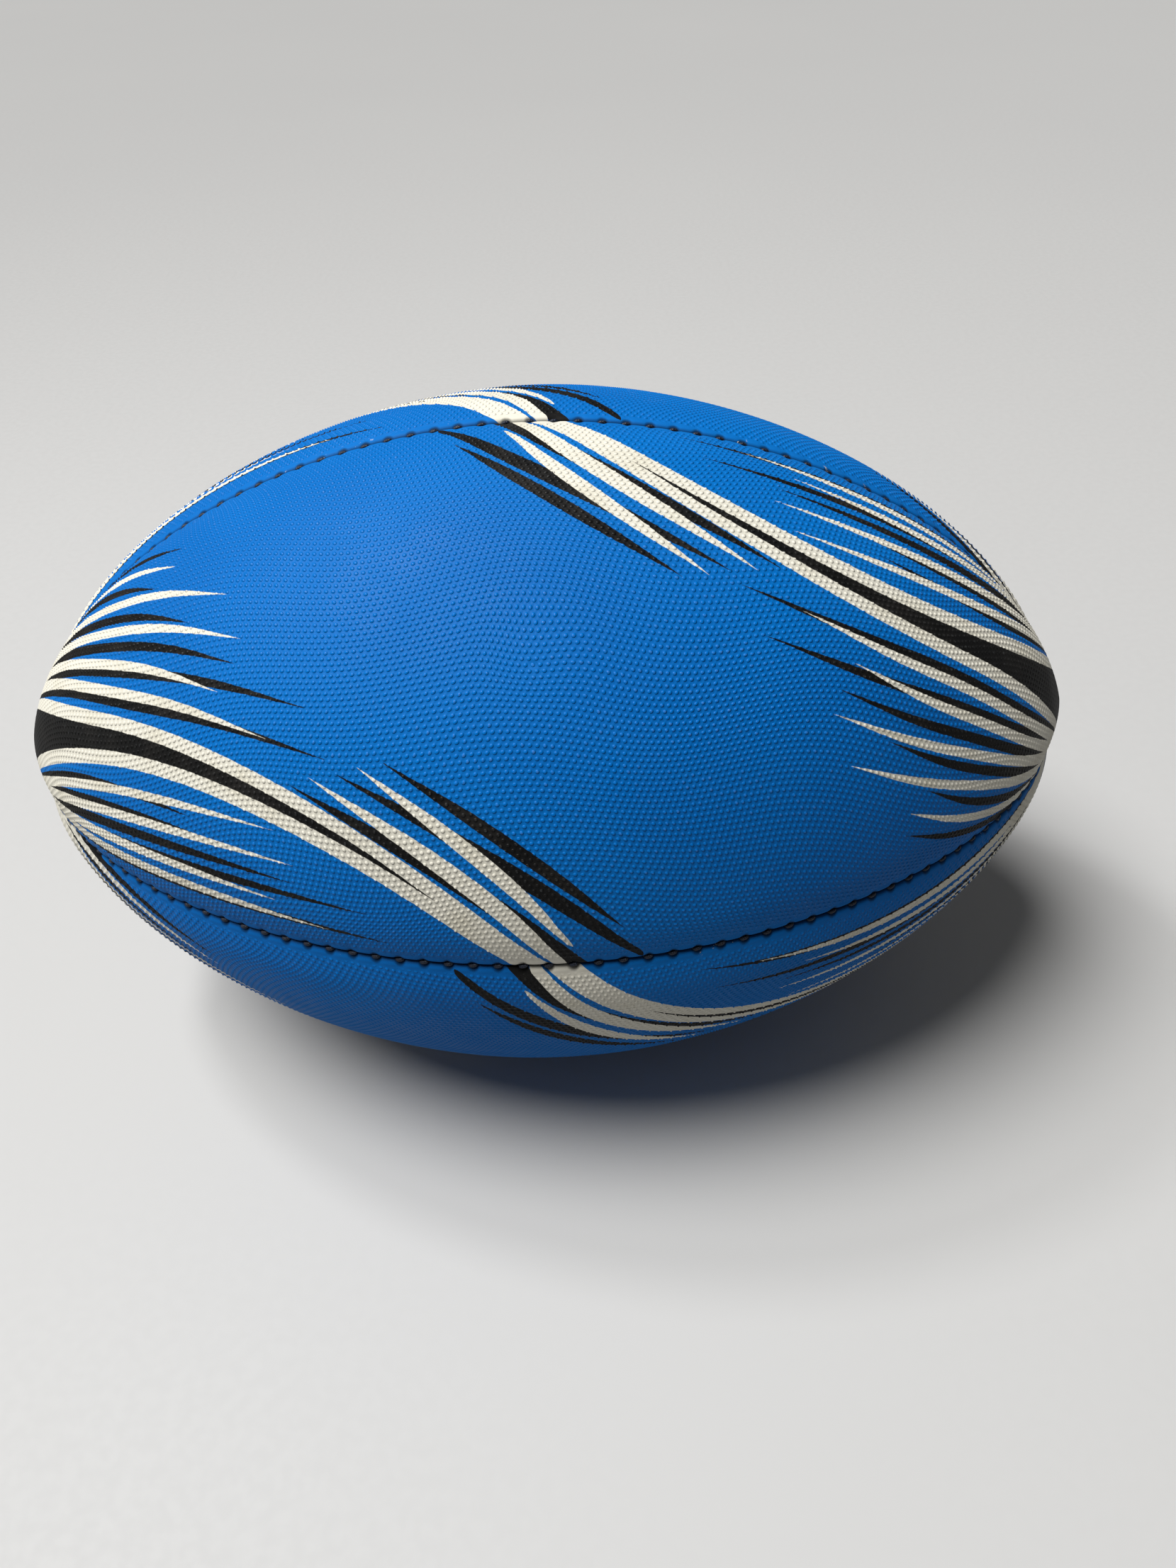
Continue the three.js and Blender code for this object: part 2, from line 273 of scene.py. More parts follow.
def field_fill(points, loop, border_ids, rim_ids, stations, hole):
    """The faces between the dots' field and the smooth border round it, and round the valve hole."""
    ids = np.concatenate([np.unique(loop), border_ids, rim_ids])
    rings = [np.stack([ring, np.roll(ring, -1)], 1) for ring in (border_ids, rim_ids) if len(ring)]
    edges = np.concatenate([loop] + rings)
    where = {int(k): n for n, k in enumerate(ids)}
    flat = [Vector(p) for p in points[ids]]
    flat_edges = [(where[int(a)], where[int(b)]) for a, b in edges]
    out = geometry.delaunay_2d_cdt(flat, flat_edges, [], 0, MERGE_DISTANCE)
    came_from = [int(ids[o[0]]) for o in out[3]]
    faces = np.array([[came_from[k] for k in face] for face in out[2]])
    middle = points[faces].mean(1)
    keep = np.abs(middle[:, 1]) < np.interp(middle[:, 0], stations, field_edge(stations))
    keep &= ~inside(points, loop, middle)
    keep &= np.hypot(middle[:, 0], middle[:, 1]) > hole * RIM_SHARE
    faces = faces[keep]
    a, b, c = (points[faces[:, k]] for k in range(3))
    turned = np.cross(b - a, c - a) < 0
    faces[turned] = faces[turned][:, ::-1]
    return faces


def ribbon(previous, here):
    """Two faces for each step between two rows of points, wound so that `here` lies above `previous`."""
    quads = np.stack([previous[:-1], previous[1:], here[1:], here[:-1]], 1)
    return np.concatenate([quads[:, [0, 1, 2]], quads[:, [0, 2, 3]]])


def edge_rows(half):
    """The rows of points from the dots' field over the fold and down the lip: from seam, drop and run."""
    radius = np.minimum(EDGE_RADIUS, FOLD_SHARE * (half - GAP))
    start = np.minimum(EDGE, half)
    fold_start = GAP + radius
    lip = np.clip(LIP_SHARE * half, SHORTEST_LIP, LIP)
    rows = [(start + (fold_start - start) * t, 0 * half, (start - fold_start) * t) for t in (0.5, 1.0)]
    for turn in np.linspace(0, math.pi / 2, FOLD_STEPS + 1)[1:]:
        run = start - fold_start + radius * turn
        rows.append((fold_start - radius * math.sin(turn), radius * (1 - math.cos(turn)), run))
    for t in np.linspace(0, 1, LIP_STEPS + 1)[1:]:
        run = start - fold_start + radius * math.pi / 2 + lip * t
        rows.append((GAP + 0 * half, radius + lip * t, run))
    return start, rows


def panel_sheet(hole=0.0):
    """The whole skin laid flat: arrays with one value a point, and the faces. `hole` is the valve's."""
    dots, dot_faces, lift = dot_field(hole)
    loop = edge_loop(dot_faces)
    field_end = float(np.interp(0, EDGE - half_width(ALONG[TIP_HALF:]), ALONG[TIP_HALF:]))
    count = 2 * int(field_end / STRIP_STEP)
    stations = np.linspace(-field_end, field_end, count + 1)
    upper = np.stack([stations, field_edge(stations)], 1)
    lower = upper[1:-1] * [1, -1]
    first = len(dots)
    border_ids = first + np.arange(2 * count)
    turns = np.arange(RIM_SIDES if hole else 0) / RIM_SIDES * 2 * math.pi
    around = np.stack([np.cos(turns), np.sin(turns)], 1)
    rim_ids = first + 2 * count + np.arange(len(around))
    points = np.concatenate([dots, upper, lower[::-1], around * hole])
    faces = [dot_faces, field_fill(points, loop, border_ids, rim_ids, stations, hole)]

    drifted = points.copy()
    drifted[:first] += dot_drift(dots, hole)
    along, across = drifted.T
    from_seam = half_width(along) - np.abs(across)
    parts = [(along, across / radius_at(along), 0 * along, across, from_seam)]
    total = len(points)

    beyond = int((LAST_ALONG - field_end) / STRIP_STEP) + 1
    ends = np.linspace(field_end, LAST_ALONG, beyond + 1)[1:]
    ridge = np.concatenate([-ends[::-1], ends])
    ridge_ids = total + np.arange(2 * beyond)
    parts.append((ridge, 0 * ridge, 0 * ridge, 0 * ridge, half_width(ridge)))
    total += len(ridge)
    stations = np.concatenate([-ends[::-1], stations, ends])
    half = half_width(stations)
    lower_ids = np.concatenate([[first], border_ids[:count:-1], [first + count]])
    start, rows = edge_rows(half)
    for side, inner_ids in ((1, border_ids[: count + 1]), (-1, lower_ids)):
        previous = np.concatenate([ridge_ids[:beyond], inner_ids, ridge_ids[beyond:]])
        for from_edge, drop, run in rows:
            angle = side * (HALF_PANEL - from_edge / radius_at(stations))
            parts.append((stations, angle, drop, side * (half - start + run), from_edge))
            here = total + np.arange(len(stations))
            total += len(stations)
            faces.append(ribbon(previous, here)[:, ::side])
            previous = here
    previous = np.append(rim_ids, rim_ids[:1])
    for inset, drop in VALVE_RIM if hole else ():
        s, v = (around * (hole - inset)).T
        parts.append((s, v / radius_at(s), drop + 0 * s, v, HALF_PANEL * RADIUS - np.abs(v)))
        here = total + np.append(np.arange(RIM_SIDES), 0)
        total += RIM_SIDES
        faces.append(ribbon(previous, here))
        previous = here
    names = ("along", "angle", "drop", "across", "from_seam")
    sheet = {name: np.concatenate([part[k] for part in parts]) for k, name in enumerate(names)}
    sheet["dot"] = np.zeros(total)
    sheet["dot"][: len(lift)] = lift
    sheet["grid"] = np.stack([sheet["along"], sheet["across"]], 1)
    sheet["grid"][: len(points)] = points
    return sheet, np.concatenate(faces)


def skin_depth(sheet):
    """How deep the skin lies: the seam's valley, the fold and the stitches' dimples, less the dots."""
    along, from_seam = sheet["along"], np.maximum(sheet["from_seam"], 0)
    beat = np.exp(PUCKER_SHARPNESS * (np.cos(2 * math.pi * along / STITCH_PITCH) - 1))
    pull = PUCKER * np.exp(-((from_seam / PUCKER_REACH) ** 2)) * beat
    near_tip = smooth(0, TIP_FADE, TIP_ALONG - np.abs(along) - TIP_BARE)
    dots = DOT_HEIGHT * (smooth(EDGE, DOT_FULL, from_seam) * near_tip) * sheet["dot"]
    slow = np.sin(along / UNEVEN_ALONG + UNEVEN_STARTS[0])
    slow = slow * np.cos(sheet["across"] / UNEVEN_ACROSS + UNEVEN_STARTS[1])
    return seam_dip(from_seam, along) + sheet["drop"] + pull + UNEVEN * slow - dots


# ---- the print: plain sweeping streaks in flat millimetres, each point (along, across, width) ----
# Only half of them are made. The other half is the same turned round the panel's middle.

STREAK_STARTS = (0, 10, -4, 14, 5)


def fan(first, last, count):
    """Evenly spread streaks between two guide streaks, whose thin ends start at uneven places."""
    streaks = []
    for k in range(count):
        share = k / (count - 1)
        streak = []
        for n, (a, b) in enumerate(zip(first, last)):
            along, across, width = (x + (y - x) * share for x, y in zip(a, b))
            late = STREAK_STARTS[k % len(STREAK_STARTS)] * (1 - n / (len(first) - 1))
            streak.append((along + late, across, width))
        streaks.append(streak)
    return streaks


UPPER_FAN = fan(
    [(34, 61, 0), (62, 52, 2), (95, 41, 2.6), (125, 30, 2.8), (158, 13, 3)],
    [(66, 27, 0), (88, 20, 1.8), (110, 15, 2.2), (132, 12.5, 2.4), (160, 12, 3)],
    9,
)
LOWER_FAN = fan(
    [(44, 17, 0), (70, 7, 2.2), (98, 0, 2.6), (130, -8, 2.8), (165, -12, 4)],
    [(84, -38, 0), (98, -39, 2), (114, -37, 2.4), (132, -31, 2.8), (160, -17, 4)],
    11,
)
WAIST_FAN = fan(
    [(-12, 76, 3.4), (2, 58, 4.6), (24, 40, 4.2), (54, 21, 0)],
    [(-22, 58, 0), (-8, 46, 3), (12, 31, 3), (32, 18, 0)],
    5,
)
BAND = [(-4, 78, 6), (14, 57, 6.4), (36, 38, 7.4), (64, 21, 8.8)]
BAND += [(92, 10, 10.4), (122, 4, 13), (150, 0, 19), (179, 0, 20)]
CORE = [(22, 50, 0), (38, 36.5, 1.4), (64, 21, 2.6), (92, 10, 4)]
CORE += [(122, 4, 6), (150, 0, 12), (165, 0, 18), (179, 0, 30)]
PRINT_ORDER = (
    (UPPER_FAN[0::2] + LOWER_FAN[0::2] + WAIST_FAN[0::2], "black"),
    (UPPER_FAN[1::2] + LOWER_FAN[1::2] + WAIST_FAN[1::2], "cream"),
    ([BAND], "cream"),
    ([CORE], "black"),
)
PRINT_FROM = Vector((-40, -60))
PRINT_SPAN = 220.0
PRINT_CLEAR = 0.5
PRINT_STOP = 0.0015  # how soon a streak's width drops to nothing beyond its ends, in print units
HALF_LEAN = 0.5  # of the line that parts a panel's two halves
INK_EDGE = 0.1
INK_RAGGED = 0.35


def rounded(stroke):
    """A streak's points with its corners cut twice, its two ends kept."""
    points = np.array(stroke, float)
    for _ in range(2):
        near, far = points[:-1] * 0.75 + points[1:] * 0.25, points[:-1] * 0.25 + points[1:] * 0.75
        cut = np.stack([near, far], 1).reshape(-1, 3)
        points = np.concatenate([points[:1], cut[1:-1], points[-1:]])
    return points


# ---- meshes ----


def new_mesh(name, points, faces, material, smooth_shading=True):
    """A mesh object from points in metres and equal-sided faces."""
    mesh = bpy.data.meshes.new(name)
    faces = np.asarray(faces)
    sides = faces.shape[1]
    mesh.vertices.add(len(points))
    mesh.vertices.foreach_set("co", np.asarray(points, np.float32).ravel())
    mesh.loops.add(faces.size)
    mesh.loops.foreach_set("vertex_index", faces.astype(np.int32).ravel())
    mesh.polygons.add(len(faces))
    mesh.polygons.foreach_set("loop_start", np.arange(0, faces.size, sides, dtype=np.int32))
    mesh.update(calc_edges=True)
    mesh.validate()
    mesh.polygons.foreach_set("use_smooth", np.full(len(faces), smooth_shading))
    mesh.materials.append(material)
    obj = bpy.data.objects.new(name, mesh)
    bpy.context.scene.collection.objects.link(obj)
    return obj


def attribute(mesh, name, kind, field, values):
    made = mesh.attributes.new(name, kind, "POINT")
    made.data.foreach_set(field, values.astype(np.float32).ravel())


def panel_skin(name, sheet, faces, material):
    points = bend(sheet["along"], sheet["angle"], skin_depth(sheet), PANELS[name])
    skin = new_mesh(f"{name}_grip_skin", points, faces, material)
    flat = np.stack([sheet["along"], sheet["across"]], 1)
    attribute(skin.data, "flat", "FLOAT2", "vector", flat)
    attribute(skin.data, "grid", "FLOAT2", "vector", sheet["grid"])
    edge = np.clip(sheet["from_seam"] - sheet["drop"], -EDGE_FAR, EDGE_FAR)
    attribute(skin.data, "from_seam", "FLOAT", "value", edge)
    reach = HALF_PANEL * RADIUS + 2 * (EDGE_RADIUS + LIP)
    unwrapped = flat / [TIP_ALONG, reach] / 2 + 0.5
    uv = skin.data.uv_layers.new(name="OFBake")
    uv.data.foreach_set("uv", unwrapped[faces.ravel()].astype(np.float32).ravel())
    return skin


def tube(path, radius, outward, sides=8):
    """Points and faces of a thread's tube along a path, in millimetres, open at its two ends."""
    path = np.asarray(path, float)
    run = np.gradient(path, axis=0)
    run /= np.linalg.norm(run, axis=1)[:, None]
    side = np.cross(run, outward)
    side /= np.linalg.norm(side, axis=1)[:, None]
    up = np.cross(side, run)
    turns = np.arange(sides) / sides * 2 * math.pi
    ring = side[:, None] * np.cos(turns)[None, :, None] + up[:, None] * np.sin(turns)[None, :, None]
    points = (path[:, None] + ring * np.asarray(radius)[:, None, None]).reshape(-1, 3)
    k = np.arange(sides)
    faces = []
    for n in range(len(path) - 1):
        a, b = n * sides + k, n * sides + np.roll(k, -1)
        faces.append(np.stack([a, a + sides, b + sides, b], 1))
    return points, np.concatenate(faces)


def seam_stitches(name, material):
    """The stitches that show along a seam: each rises from the groove, runs along it and dives again."""
    points, faces, total = [], [], 0
    last = int(STITCHED_TO / STITCH_PITCH)
    for k in range(-last, last + 1):
        t = np.linspace(-1, 1, STITCH_STEPS)
        along = k * STITCH_PITCH + t * STITCH_LENGTH / 2
        depth = seam_dip(0, along) + STITCH_DEPTH + STITCH_DIVE * t**4
        lean = STITCH_LEAN * np.sin(t * math.pi / 2) / radius_at(along)
        path = bend(along, lean, depth, SEAMS[name]) / MM
        outward = path - bend(along, lean, depth + 1, SEAMS[name]) / MM
        radius = THREAD_RADIUS * np.sqrt(np.maximum(1 - np.abs(t) ** 6, THREAD_END))
        ring_points, ring_faces = tube(path, radius, outward)
        points.append(ring_points * MM)
        faces.append(ring_faces + total)
        total += len(ring_points)
    return new_mesh(f"{name}_seam_stitches", np.concatenate(points), np.concatenate(faces), material)


def tip_plug(name, side, material):
    """The small dome of sealing rubber that closes the hole where the four panels' points meet."""
    turns = np.linspace(0, math.pi / 2, PLUG_STEPS)
    sides = np.arange(PLUG_SIDES)
    around = sides / PLUG_SIDES * 2 * math.pi
    tip = side * (HALF_LENGTH - PLUG_DEPTH)
    points, faces = [], []
    for n, turn in enumerate(turns):
        r = PLUG_RADIUS * math.cos(turn) + PLUG_POINT
        x = tip - side * PLUG_RADIUS * (1 - math.sin(turn)) * PLUG_HEIGHT
        points.append(np.stack([x + 0 * around, r * np.cos(around), r * np.sin(around) + CENTRE_HEIGHT], 1))
        k = n * PLUG_SIDES + sides
        m = n * PLUG_SIDES + np.roll(sides, -1)
        if n:
            faces.append(np.stack([k, m, m - PLUG_SIDES, k - PLUG_SIDES], 1)[:, ::-side])
    return new_mesh(name, np.concatenate(points) * MM, np.concatenate(faces), material)


# ---- materials ----


class Nodes:
    """A short way to write a node material."""

    def __init__(self, name):
        self.material = bpy.data.materials.new(name)
        self.material.use_nodes = True
        self.tree = self.material.node_tree
        self.shader = self.tree.nodes["Principled BSDF"]
        self.place = self.add("ShaderNodeTexCoord").outputs["Object"]

    def add(self, kind, inputs=(), **settings):
        node = self.tree.nodes.new(kind)
        for key, value in settings.items():
            setattr(node, key, value)
        for key, value in dict(inputs).items():
            if isinstance(value, bpy.types.NodeSocket):
                self.tree.links.new(value, node.inputs[key])
            else:
                node.inputs[key].default_value = value
        return node

    def pair(self, name):
        """The two values of a mesh attribute."""
        vector = self.add("ShaderNodeAttribute", attribute_name=name).outputs["Vector"]
        return self.add("ShaderNodeSeparateXYZ", {0: vector}).outputs[:2]

    def noise(self, scale, detail=3.0, roughness=0.5):
        inputs = {"Vector": self.place, "Scale": scale, "Detail": detail, "Roughness": roughness}
        return self.add("ShaderNodeTexNoise", inputs).outputs["Fac"]

    def math(self, operation, a, b=0.0):
        return self.add("ShaderNodeMath", {0: a, 1: b}, operation=operation).outputs[0]

    def ramp(self, value, low, high, to_low=0.0, to_high=1.0, kind="SMOOTHSTEP"):
        inputs = {"Value": value, "From Min": low, "From Max": high, "To Min": to_low, "To Max": to_high}
        return self.add("ShaderNodeMapRange", inputs, interpolation_type=kind).outputs["Result"]

    def mix(self, factor, a, b, blend="MIX"):
        node = self.add("ShaderNodeMix", {0: factor}, data_type="RGBA", blend_type=blend)
        for key, value in ((6, a), (7, b)):
            if isinstance(value, bpy.types.NodeSocket):
                self.tree.links.new(value, node.inputs[key])
            else:
                node.inputs[key].default_value = (*value, 1)
        return node.outputs[2]

    def bump(self, height, distance, strength=1.0, before=None):
        inputs = {"Height": height, "Distance": distance, "Strength": strength}
        node = self.add("ShaderNodeBump", inputs)
        if before:
            self.tree.links.new(before, node.inputs["Normal"])
        return node.outputs["Normal"]

    def set(self, **sockets):
        for key, value in sockets.items():
            key = key.replace("_", " ")
            if isinstance(value, bpy.types.NodeSocket):
                self.tree.links.new(value, self.shader.inputs[key])
            elif isinstance(value, tuple):
                self.shader.inputs[key].default_value = (*value, 1)
            else:
                self.shader.inputs[key].default_value = value
        return self.material


DOT_BUMP = 0.00022
SMOOTHEST_DOT = 0.05  # share of a dot's shading left at the tips
# how far from the seam the painted shade of each needle hole reaches
HOLE_REACH = 1.9
WORN_DOT = (0.55, 0.58, 0.6)
SCUFF = (0.6, 0.62, 0.6)
RUBBED_FROM = 148.0
RUBBED_INK = (0.12, 0.116, 0.11)
BLUE = (0.0, 0.170, 0.585)
BLUE_DEEP = (0.0, 0.148, 0.53)
BLACK = (0.008, 0.008, 0.008)
BLACK_DUSTY = (0.018, 0.017, 0.016)
IVORY = (0.86, 0.83, 0.72)
IVORY_SOILED = (0.76, 0.72, 0.59)


def profile(n, value, points):
    """A curve node through (along, height) points, both in print units, straight between them."""
    node = n.add("ShaderNodeFloatCurve", {"Value": value})
    curve = node.mapping.curves[0]
    while len(curve.points) < len(points):
        curve.points.new(0, 0)
    for spot, place in zip(curve.points, points):
        spot.location = place
        spot.handle_type = "VECTOR"
    node.mapping.update()
    return node.outputs["Value"]


def inside_streak(n, along, across, stroke):
    """How far a point lies outside one streak, across the panel, in print units, less the clearance."""
    points = rounded(stroke)
    slope = np.gradient(points[:, 1], points[:, 0])
    reach = points[:, 2] / 2 * np.hypot(1, slope) + PRINT_CLEAR
    s = (points[:, 0] - PRINT_FROM.x) / PRINT_SPAN
    middle = list(zip(s, (points[:, 1] - PRINT_FROM.y) / PRINT_SPAN))
    width = [(s[0] - PRINT_STOP, 0), *zip(s, reach / PRINT_SPAN), (s[-1] + PRINT_STOP, 0)]
    away = n.math("ABSOLUTE", n.math("SUBTRACT", across, profile(n, along, middle)))
    return n.math("SUBTRACT", away, profile(n, along, width))


def dome(n, along, across):
    """The height of a round grip dot over the panel, 1 at its top and 0 at its foot and beyond."""
    nearest = 10.0
    for shift in (0, 1):
        gaps = []
        for value, step in ((along, PITCH), (across, 2 * ROW)):
            moved = n.math("ADD", value, step / 2 + shift * step / 2)
            gaps.append(n.math("SUBTRACT", n.math("FLOORED_MODULO", moved, step), step / 2))
        square = n.math("ADD", n.math("MULTIPLY", gaps[0], gaps[0]), n.math("MULTIPLY", gaps[1], gaps[1]))
        nearest = n.math("MINIMUM", nearest, square)
    left = n.math("SUBTRACT", 1.0, n.math("DIVIDE", nearest, DOME_RADIUS**2))
    return n.math("SQRT", n.math("MAXIMUM", left, 0.0))


def printed_rubber():
    """Blue grip rubber with the black and ivory print laid on in layers, and painted shade between the
    dots, down into the seam's valley and at the stitches' needle holes.
    """
    n = Nodes("printed_grip_rubber")
    flat_along, flat_across = n.pair("flat")
    grid_along, grid_across = n.pair("grid")
    edge = n.add("ShaderNodeAttribute", attribute_name="from_seam").outputs["Fac"]
    round_dot = n.math("MULTIPLY", dome(n, grid_along, grid_across), n.ramp(edge, DOT_START, DOT_FULL))
    near_tip = n.math("ABSOLUTE", flat_along)
    bare_from = TIP_ALONG - TIP_BARE
    smooth_tip = n.ramp(near_tip, bare_from - TIP_FADE, bare_from, 1, SMOOTHEST_DOT)
    round_dot = n.math("MULTIPLY", round_dot, smooth_tip)
    broad = n.noise(14, 2)
    middle = n.noise(90, 4)
    fine = n.noise(900, 3)
    half = n.math("SIGN", n.math("ADD", flat_along, n.math("MULTIPLY", flat_across, HALF_LEAN)))
    spots = []
    for value, start in ((flat_along, PRINT_FROM.x), (flat_across, PRINT_FROM.y)):
        spots.append(n.ramp(n.math("MULTIPLY", value, half), start, start + PRINT_SPAN, kind="LINEAR"))
    along, across = spots
    inks = {
        "blue": n.mix(n.ramp(broad, 0.35, 0.65), BLUE_DEEP, BLUE),
        "black": n.mix(n.ramp(middle, 0.42, 0.72), BLACK, BLACK_DUSTY),
        "cream": n.mix(n.ramp(middle, 0.45, 0.75, 0, 0.8), IVORY, IVORY_SOILED),
    }
    ragged = n.math("MULTIPLY", n.math("SUBTRACT", n.noise(700, 2), 0.5), INK_RAGGED)
    colour = inks["blue"]
    for strokes, ink in PRINT_ORDER:
        outside = 1.0
        for stroke in strokes:
            outside = n.math("MINIMUM", outside, inside_streak(n, along, across, stroke))
        outside = n.math("ADD", n.math("MULTIPLY", outside, PRINT_SPAN), n.math("ADD", ragged, PRINT_CLEAR))
        colour = n.mix(n.ramp(outside, -INK_EDGE, INK_EDGE, 1, 0), colour, inks[ink])
    # Painted shade: the colour darkens to 0.9 in the hollows between the grip dots and stays full on their
    # tops.
    shade_beside_dots = n.ramp(round_dot, 0, 0.5, 0.9, 1.0, "LINEAR")
    # Painted shade: the colour darkens to 0.15 over the folded edge and down into the seam's valley between
    # the panels.
    valley = n.math("MULTIPLY", shade_beside_dots, n.ramp(edge, -1.0, 1.3, 0.15, 1.0))
    # Painted shade at each stitch's needle hole: round dark spots at the seam, one stitch pitch apart.
    beat = n.math("COSINE", n.math("MULTIPLY", flat_along, 2 * math.pi / STITCH_PITCH))
    inset = n.math("DIVIDE", edge, HOLE_REACH)
    needle_hole_shade = n.math("SUBTRACT", beat, n.math("MULTIPLY", inset, inset))
    valley = n.math("MULTIPLY", valley, n.ramp(needle_hole_shade, -0.3, 0.75, 1, 0.2))
    shade = n.add("ShaderNodeCombineColor", {0: valley, 1: valley, 2: valley}).outputs[0]
    colour = n.mix(1.0, colour, shade, "MULTIPLY")
    worn = n.ramp(n.math("MULTIPLY", round_dot, fine), 0.45, 0.7, 0, 0.07)
    colour = n.mix(worn, colour, WORN_DOT)
    rubbed = n.math("MULTIPLY", n.ramp(near_tip, RUBBED_FROM, TIP_ALONG, 0, 0.4), n.ramp(fine, 0.3, 0.8))
    colour = n.mix(rubbed, colour, RUBBED_INK)
    scuff = n.math("MULTIPLY", n.ramp(n.noise(420, 4, 0.7), 0.66, 0.71), n.ramp(edge, 3.2, 0.6))
    colour = n.mix(n.math("MULTIPLY", scuff, n.ramp(broad, 0.42, 0.6)), colour, SCUFF)
    rough = n.math("ADD", n.ramp(middle, 0.3, 0.7, 0.42, 0.52), n.ramp(round_dot, 0, 1, 0.08, -0.1))
    rough = n.math("ADD", rough, n.ramp(edge, 3.5, 1.5, 0, 0.16))
    domes = n.bump(round_dot, DOT_BUMP)
    grain = n.bump(fine, 0.00005, 0.6, before=domes)
    return n.set(Base_Color=colour, Roughness=rough, Normal=grain, Specular_IOR_Level=0.13)


def waxed_thread():
    """Dark polyester thread: twisted strands under a dull wax."""
    n = Nodes("waxed_seam_thread")
    turned = n.add("ShaderNodeMapping", {"Vector": n.place, "Rotation": (0.5, 0.3, 0.7)}).outputs[0]
    strands = n.add("ShaderNodeTexWave", {"Vector": turned, "Scale": 900.0, "Distortion": 1.5})
    twist = strands.outputs["Fac"]
    lint = n.noise(1500, 2)
    colour = n.mix(twist, (0.004, 0.006, 0.012), (0.016, 0.024, 0.05))
    colour = n.mix(n.ramp(lint, 0.62, 0.72, 0, 0.5), colour, (0.12, 0.14, 0.18))
    rough = n.ramp(lint, 0.3, 0.7, 0.4, 0.6)
    return n.set(Base_Color=colour, Roughness=rough, Normal=n.bump(twist, 0.00008, 0.8))


def moulded_rubber(name, dark, light, rough, scale):
    """Plain moulded rubber with a fine grain, bloom and a few specks."""
    n = Nodes(name)
    bloom = n.noise(scale / 20, 3)
    grain = n.noise(scale, 4, 0.6)
    colour = n.mix(n.ramp(bloom, 0.35, 0.7), dark, light)
    speck = n.ramp(n.noise(scale * 0.7, 1), 0.68, 0.74, 0, 0.35)
    colour = n.mix(speck, colour, tuple(4 * c for c in light))
    roughness = n.ramp(bloom, 0.3, 0.7, rough - 0.07, rough + 0.08)
    return n.set(Base_Color=colour, Roughness=roughness, Normal=n.bump(grain, 0.00008, 0.6))


def woven_laminate():
    """Layers of cotton and polyester cloth under the skin: crossed yarns in latex."""
    n = Nodes("woven_laminate")
    yarns = []
    for direction in ("X", "Y"):
        inputs = {"Vector": n.place, "Scale": 420.0, "Distortion": 0.6, "Detail": 1.0}
        wave = n.add("ShaderNodeTexWave", inputs, bands_direction=direction)
        yarns.append(wave.outputs["Fac"])
    weave = n.math("MULTIPLY", yarns[0], yarns[1])
    stain = n.noise(40, 3)
    colour = n.mix(weave, (0.28, 0.25, 0.19), (0.6, 0.56, 0.46))
    colour = n.mix(n.ramp(stain, 0.5, 0.8, 0, 0.5), colour, (0.42, 0.33, 0.2))
    rough = n.ramp(weave, 0, 1, 0.72, 0.88)
    return n.set(Base_Color=colour, Roughness=rough, Normal=n.bump(weave, 0.0002, 0.9))


FLOOR_BOUNCE = (0.28, 0.28, 0.28)


def pale_floor():
    """A matt pale floor, which returns less light to the ball than it shows."""
    n = Nodes("pale_floor")
    tone = n.noise(1.5, 3)
    pale = n.mix(tone, (0.54, 0.54, 0.54), (0.57, 0.57, 0.565))
    seen = n.add("ShaderNodeLightPath").outputs["Is Camera Ray"]
    colour = n.mix(seen, FLOOR_BOUNCE, pale)
    return n.set(Base_Color=colour, Roughness=n.ramp(n.noise(300, 2), 0.3, 0.7, 0.55, 0.65))


# ---- the ball ----

skin_rubber = printed_rubber()
thread = waxed_thread()
sealing = moulded_rubber("sealing_rubber", (0.010, 0.010, 0.011), (0.022, 0.021, 0.02), 0.5, 1500)
plain_sheet, plain_faces = panel_sheet()
valve_sheet, valve_faces = panel_sheet(VALVE_HOLE)
for name in PANELS:
    sheet, faces = (valve_sheet, valve_faces) if name == VALVE_PANEL else (plain_sheet, plain_faces)
    skin = panel_skin(name, sheet, faces, skin_rubber)
    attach(skin, "root")
    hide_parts(f"{name}_panel_skin")
for name in SEAMS:
    stitches = seam_stitches(name, thread)
    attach(stitches, "root")
    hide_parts(f"{name}_seam_thread")
for name, side in (("left_tip_plug", -1), ("right_tip_plug", 1)):
    plug = tip_plug(name, side, sealing)
    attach(plug, "root")

inner_materials = {
    "panel_backing": woven_laminate(),
    "air_bladder": moulded_rubber("butyl_bladder", (0.012, 0.012, 0.013), (0.03, 0.028, 0.026), 0.55, 700),
    "valve_body": moulded_rubber("valve_rubber", (0.014, 0.014, 0.015), (0.028, 0.027, 0.026), 0.46, 2400),
    "valve_core": moulded_rubber(
        "valve_core_rubber", (0.05, 0.05, 0.052), (0.085, 0.085, 0.082), 0.42, 3000
    ),
}
for node_name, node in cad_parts.items():
    for ending, material in inner_materials.items():
        if node_name.endswith(ending):
            node.data.materials.clear()
            node.data.materials.append(material)

# ---- floor, light and camera ----

FLOOR_HALF = 30.0
corners = [(-FLOOR_HALF, -FLOOR_HALF, 0), (FLOOR_HALF, -FLOOR_HALF, 0), (FLOOR_HALF, FLOOR_HALF, 0)]
corners.append((-FLOOR_HALF, FLOOR_HALF, 0))
floor = new_mesh("floor", np.array(corners) - [0, 0, 0.0002], [[0, 1, 2, 3]], pale_floor(), False)

centre = Vector((0, 0, CENTRE_HEIGHT * MM))


def area_light(name, place, size, power, colour=(1, 1, 1)):
    data = bpy.data.lights.new(name, "AREA")
    data.shape = "DISK"
    data.size = size
    data.energy = power
    data.color = colour
    light = bpy.data.objects.new(name, data)
    light.location = centre + Vector(place)
    light.rotation_euler = (-Vector(place)).to_track_quat("-Z", "Y").to_euler()
    bpy.context.scene.collection.objects.link(light)


